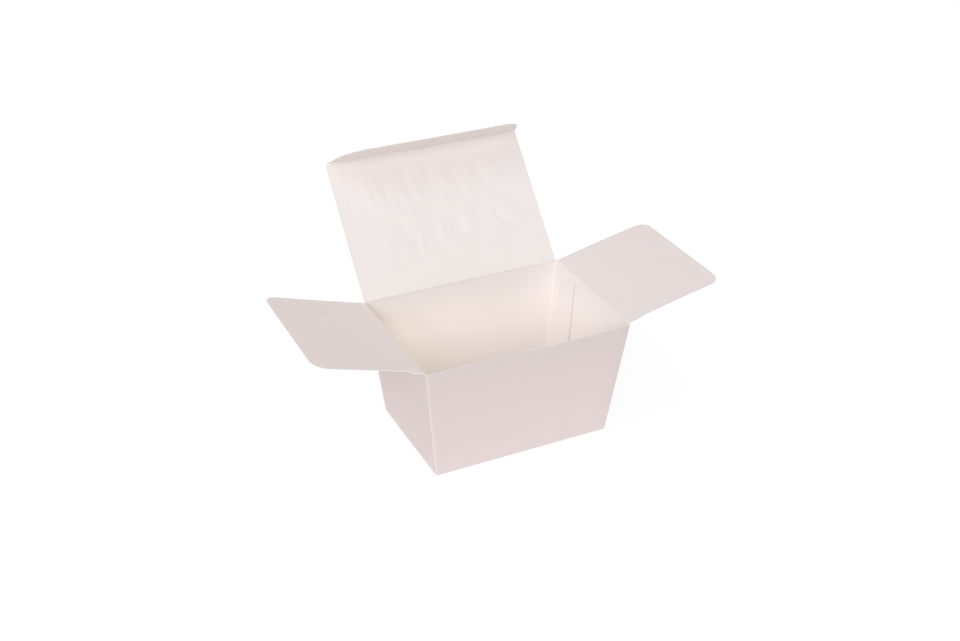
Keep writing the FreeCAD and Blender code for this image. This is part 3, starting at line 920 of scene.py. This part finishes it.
# %% Pressed dashes
# Each dash: its middle along the crease and out from it, its length, all in mm, and its slant in degrees.
RIGHT_DASHES = [
    (-3.4, 42.0, 7.0, 132), (22.3, 45.6, 3.8, 132), (13.7, 20.4, 9.0, 132), (-1.0, 21.2, 3.6, 132),
]
LEFT_DASHES = [
    (3.3, 36.7, 14.0, 97), (6.8, 42.6, 3.4, 97), (23.4, 28.7, 3.6, 97), (-9.3, 43.4, 4.0, 97),
]
DASH_WIDTH, DASH_FULL, DASH_GONE = 0.8, 0.5, 1.3


def dash_mask(place, dashes):
    """1 in the middle of each dash, 0 away from all of them."""
    total = None
    for along_crease, out, length, slant in dashes:
        centred = place.node(
            "ShaderNodeVectorMath", {"operation": "SUBTRACT"}, {0: place, 1: (along_crease * MM, out * MM, 0)}
        )
        turned = place.node(
            "ShaderNodeVectorRotate",
            {"rotation_type": "Z_AXIS"},
            {"Vector": centred, "Angle": -math.radians(slant)},
        )
        scaled = place.node(
            "ShaderNodeVectorMath",
            {"operation": "DIVIDE"},
            {0: turned, 1: (length / 2 * MM, DASH_WIDTH / 2 * MM, 1)},
        )
        off = place.node("ShaderNodeVectorMath", {"operation": "LENGTH"}, {0: scaled}, "Value")
        mask = place.node("ShaderNodeMapRange", {"interpolation_type": "SMOOTHSTEP"}, {
            "Value": off, "From Min": DASH_FULL, "From Max": DASH_GONE, "To Min": 1.0, "To Max": 0.0
        })
        total = mask if total is None else place.math("MAXIMUM", total, mask)
    return total


print("dashes:", len(RIGHT_DASHES), "on the right flap,", len(LEFT_DASHES), "on the left one")

# %% [markdown]
# ## The finishes
#
# One function makes every finish, because all the faces are the same card. Only the colour, the roughness
# and the dashes differ, and the two dust flaps' colours differ from the inside only by painted light and
# shade. A cut edge has no varnish, so it is rougher than the faces.

# %% Pearl card
VARNISH_IOR, VARNISH_GLOSS = 1.45, 0.25
# Along a fold the colour is lightened, partly for cracked varnish and partly as a painted highlight.
FOLD_CRACK_AND_HIGHLIGHT_LIGHTER, CUT_DARKER, CLOUD_LIGHTER, CLOUD_DARKER = 1.04, 0.94, 1.008, 0.992
DASH_DARKER, DASH_RELIEF = 0.93, 18
FIBRE_SCALE, CLOUD_SCALE = 3200.0, 160.0
FIBRE_ROUGHNESS, FOLD_ROUGHNESS = 0.12, 0.2
EVEN_CRACKS_AND_HIGHLIGHT = 0.4
FIBRE_RELIEF, CLOUD_RELIEF, RELIEF_STRENGTH, RELIEF_DEPTH = 0.7, 0.3, 0.1, 0.03 * MM


def pearl_card(name, colour, roughness, dashes=()):
    """The finish of one face. Grain, clouds, painted fold highlight and edge grey follow the flat sheet."""
    material = bpy.data.materials.new(name)
    material.use_nodes = True
    material.diffuse_color = shade(colour, 1)
    tree = material.node_tree
    surface = tree.nodes["Principled BSDF"]
    surface.inputs["IOR"].default_value = VARNISH_IOR
    surface.inputs["Specular IOR Level"].default_value = VARNISH_GLOSS
    start = Wire(tree)
    place = start.node("ShaderNodeAttribute", {"attribute_name": FLAT}, {}, "Vector")
    fold_and_cut_near = start.node("ShaderNodeAttribute", {"attribute_name": FOLD_AND_CUT_NEARNESS}, {}, "Vector")
    folded = start.node("ShaderNodeSeparateXYZ", {}, {0: fold_and_cut_near}, "X")
    cut = start.node("ShaderNodeSeparateXYZ", {}, {0: fold_and_cut_near}, "Y")
    fibres = start.node("ShaderNodeTexNoise", {}, {"Vector": place, "Scale": FIBRE_SCALE, "Detail": 3.0})
    clouds = start.node("ShaderNodeTexNoise", {}, {"Vector": place, "Scale": CLOUD_SCALE, "Detail": 2.0})

    def mix(share, first, second):
        return start.node("ShaderNodeMix", {"data_type": "RGBA"}, {0: share, 6: first, 7: second}, 2)

    grey = sum(colour) / 3
    greyed_edge = tuple(0.5 * c + 0.5 * grey for c in colour)
    tone = mix(clouds, shade(colour, CLOUD_DARKER), shade(colour, CLOUD_LIGHTER))
    # Painted highlight: along a fold the colour turns lighter, partly for cracked varnish, partly as a
    # highlight line.
    tone = mix(folded * (EVEN_CRACKS_AND_HIGHLIGHT + fibres), tone, shade(colour, FOLD_CRACK_AND_HIGHLIGHT_LIGHTER))
    # Near a cut edge the colour turns greyer and darker.
    tone = mix(cut, tone, shade(greyed_edge, CUT_DARKER))
    rough = roughness + (fibres - 0.5) * FIBRE_ROUGHNESS + folded * FOLD_ROUGHNESS
    height = fibres * FIBRE_RELIEF + clouds * CLOUD_RELIEF
    if dashes:
        dash = dash_mask(place, dashes)
        tone = mix(dash, tone, shade(colour, DASH_DARKER))
        height = height - dash * DASH_RELIEF
    tree.links.new(tone.socket, surface.inputs["Base Color"])
    tree.links.new(rough.socket, surface.inputs["Roughness"])
    bump = start.node(
        "ShaderNodeBump", {}, {"Strength": RELIEF_STRENGTH, "Distance": RELIEF_DEPTH, "Height": height}
    )
    tree.links.new(bump.socket, surface.inputs["Normal"])
    print(name, len(tree.nodes), "nodes")
    return material


# %% Finishes of the pieces
OUTSIDE_ROUGHNESS, INSIDE_ROUGHNESS, EDGE_ROUGHNESS = 0.5, 0.55, 0.8
outside = pearl_card("pearl_outside", OUTSIDE_COLOUR, OUTSIDE_ROUGHNESS)
inside = pearl_card("pearl_inside", INSIDE_COLOUR, INSIDE_ROUGHNESS)
# The flaps' inside finishes carry painted shade on the right and painted light on the left, besides the
# dashes.
inside_right_painted_shade = pearl_card("pearl_inside_right_flap", RIGHT_FLAP_PAINTED_SHADE_COLOUR, INSIDE_ROUGHNESS, RIGHT_DASHES)
inside_left_painted_light = pearl_card("pearl_inside_left_flap", LEFT_FLAP_PAINTED_LIGHT_COLOUR, INSIDE_ROUGHNESS, LEFT_DASHES)
raw_edge = pearl_card("raw_card_edge", EDGE_COLOUR, EDGE_ROUGHNESS)
for piece, inner_finish in (
    (box_walls, inside), (lid_sheet, inside), (tuck_sheet, inside),
    (right_flap_sheet, inside_right_painted_shade), (left_flap_sheet, inside_left_painted_light),
):
    for finish in (outside, inner_finish, raw_edge):
        piece.data.materials.append(finish)
    print(piece.name, [finish.name for finish in piece.data.materials])

# %% [markdown]
# ## Light
#
# Pale card on a white table is lit by one large soft lamp from the front left, low enough to reach under
# the tuck flap, by a weaker one from high on the left, and by the white room. A soft lamp is a wide disk
# far away: its width softens the shadows, and its distance keeps the light even from the lid to the table.

# %% Lamps
LAMP_DISTANCE, LAMP_SIZE = 8.0, 4.8
LAMP_COLOUR = (0.974, 1.0, 1.009)
KEY_LEVEL, SIDE_LEVEL = 1.459, 0.541


def area_light(name, shape, power, colour):
    """An area light on an object of its own. Its power is in watts."""
    light = bpy.data.lights.new(name, "AREA")
    light.shape = shape
    light.energy = power
    light.color = colour
    holder = bpy.data.objects.new(name, light)
    bpy.context.scene.collection.objects.link(holder)
    print(name, round(power, 5), "W")
    return holder


def soft_lamp(name, azimuth, elevation, level):
    """A wide disk of light that faces the box. Its power grows with the square of its distance, so that
    level alone says how bright it is on the box."""
    lamp = area_light(name, "DISK", level * math.pi * LAMP_DISTANCE**2, LAMP_COLOUR)
    lamp.data.size = LAMP_SIZE
    towards, side, above = look_from(azimuth, elevation)
    lamp.matrix_world = viewer_at(towards * LAMP_DISTANCE, side, above, towards)


soft_lamp("front_lamp", -35, 30, KEY_LEVEL)
soft_lamp("side_lamp", -85, 60, SIDE_LEVEL)

# %% [markdown]
# ## Light inside the box
#
# Inside the box light goes from wall to wall many more times than a renderer follows it, and some comes in
# through the thin card. Three small panels just under the rim add what is lost: one faces down, and two
# tip towards the end walls. They stay below the rim, so they light the inside alone.

# %% Panels inside the box
WARM_LIGHT, COOL_LIGHT = (1.033, 1.0, 0.79), (0.969, 1.0, 1.052)
# Each panel: its name, its middle across the box and above the rim, its length and width, all in mm, how
# far it tips towards an end wall, in degrees, its level and its colour.
INNER_PANELS = [
    ("inner_panel_middle", -10, -2, 40, 26, 0, 0.98, WARM_LIGHT),
    ("inner_panel_left", -31, -14, 14, 50, 45, 1.35, WARM_LIGHT),
    ("inner_panel_right", 30, -7, 14, 50, -45, 0.34, COOL_LIGHT),
]
for panel_name, across, above_rim, length, width, tip, level, colour in INNER_PANELS:
    area = length * MM * width * MM
    panel = area_light(panel_name, "RECTANGLE", level * math.pi * area, colour)
    panel.data.size, panel.data.size_y = length * MM, width * MM
    panel.location = (across * MM, 0, CREASE_HEIGHT + above_rim * MM)
    panel.rotation_euler = (0, math.radians(tip), 0)
    panel.visible_camera = False
    panel.visible_glossy = False

# %% [markdown]
# ## The room and the floor
#
# The room is a plain world light. Where the camera looks past the box it sees white, and that white is only
# for the camera, so it adds no light. Stronger light on a white room would do it too, but it would wash out
# the pale card. The floor is one wide sheet, a hair under the box, so that the two never touch.

# %% White room
WHITE = (1, 1, 1)
ROOM_LEVEL = 0.464
ROOM_COLOUR = (1.018, 1.0, 0.993)
MIRRORED_LEVEL = 1.0
world = bpy.data.worlds.new("white_room")
world.use_nodes = True
bpy.context.scene.world = world
room = Wire(world.node_tree)
background = world.node_tree.nodes["Background"]
room_seen = room.node("ShaderNodeLightPath", {}, {}, "Is Camera Ray")
room_mirrored = room.node("ShaderNodeLightPath", {}, {}, "Is Glossy Ray")
room_light = room.node(
    "ShaderNodeMix",
    {"data_type": "RGBA"},
    {0: room_mirrored, 6: shade(ROOM_COLOUR, ROOM_LEVEL), 7: shade(WHITE, MIRRORED_LEVEL)},
    2,
)
room_shown = room.node(
    "ShaderNodeMix", {"data_type": "RGBA"}, {0: room_seen, 6: room_light, 7: shade(WHITE, 1)}, 2
)
world.node_tree.links.new(room_shown.socket, background.inputs["Color"])
background.inputs["Strength"].default_value = 1.0
print("room:", ROOM_LEVEL, "to the card,", MIRRORED_LEVEL, "to its gloss, white to the camera")

# %% Floor
FLOOR_HALF, FLOOR_DROP = 3.0, 0.2 * MM
floor_mesh = bpy.data.meshes.new("floor")
floor_corners = [(x * FLOOR_HALF, y * FLOOR_HALF, 0) for x, y in ((-1, -1), (1, -1), (1, 1), (-1, 1))]
floor_mesh.from_pydata(floor_corners, [], [(0, 1, 2, 3)])
floor = bpy.data.objects.new("floor", floor_mesh)
floor.location.z = -FLOOR_DROP
bpy.context.scene.collection.objects.link(floor)
print("floor:", 2 * FLOOR_HALF, "m wide,", FLOOR_DROP / MM, "mm under the box")

# %% [markdown]
# ## The white table
#
# The floor's finish works as the room does: to the camera it is a white sheet that keeps the box's shadow,
# and to the card it is a lit white table, a little brighter close to the box. Plain white paper would show
# as a light grey under these lamps, so Light Path keeps the two apart and a Mix Shader joins them.

# %% White table
# To the camera the floor glows white, a little less near the box. There a share of plain lit paper makes up
# the rest, except in the box's shadow. All distances from the middle of the box are in metres.
GREY_WITHIN, WHITE_BEYOND, NEAR_WHITE, PAPER_SHARE = 0.10, 0.30, 0.90, 0.13
# To the card the floor is a white table with a glow that fades away from the box.
GLOW_WITHIN, GLOW_GONE, FLOOR_GLOW, TABLE_WHITE = 0.05, 0.45, 0.388, 0.8
floor_material = bpy.data.materials.new("white_floor")
floor_material.use_nodes = True
floor_tree = floor_material.node_tree
floor_tree.nodes.remove(floor_tree.nodes["Principled BSDF"])
table = Wire(floor_tree)
floor_seen = table.node("ShaderNodeLightPath", {}, {}, "Is Camera Ray")
floor_place = table.node("ShaderNodeNewGeometry", {}, {}, "Position")
away = table.node("ShaderNodeVectorMath", {"operation": "LENGTH"}, {0: floor_place}, "Value")

seen_white = table.node(
    "ShaderNodeMapRange", {},
    {"Value": away, "From Min": GREY_WITHIN, "From Max": WHITE_BEYOND, "To Min": NEAR_WHITE, "To Max": 1.0},
)
seen_glow = table.node("ShaderNodeEmission", {}, {"Strength": seen_white})
seen_paper = table.node("ShaderNodeBsdfDiffuse", {}, {"Color": shade(WHITE, PAPER_SHARE)})
seen_floor = table.node("ShaderNodeAddShader", {}, {0: seen_glow, 1: seen_paper})

glow_left = table.node(
    "ShaderNodeMapRange", {"interpolation_type": "SMOOTHSTEP"},
    {"Value": away, "From Min": GLOW_WITHIN, "From Max": GLOW_GONE, "To Min": FLOOR_GLOW, "To Max": 0.0},
)
cast_glow = table.node("ShaderNodeEmission", {}, {"Color": shade(ROOM_COLOUR, 1), "Strength": glow_left})
cast_white = table.node("ShaderNodeBsdfDiffuse", {}, {"Color": shade(WHITE, TABLE_WHITE)})
cast_floor = table.node("ShaderNodeAddShader", {}, {0: cast_glow, 1: cast_white})

mixed = table.node("ShaderNodeMixShader", {}, {0: floor_seen, 1: cast_floor, 2: seen_floor})
floor_tree.links.new(mixed.socket, floor_tree.nodes["Material Output"].inputs["Surface"])
floor_mesh.materials.append(floor_material)
print("table:", len(floor_tree.nodes), "nodes")

bpy.context.scene.view_settings.view_transform = "Standard"
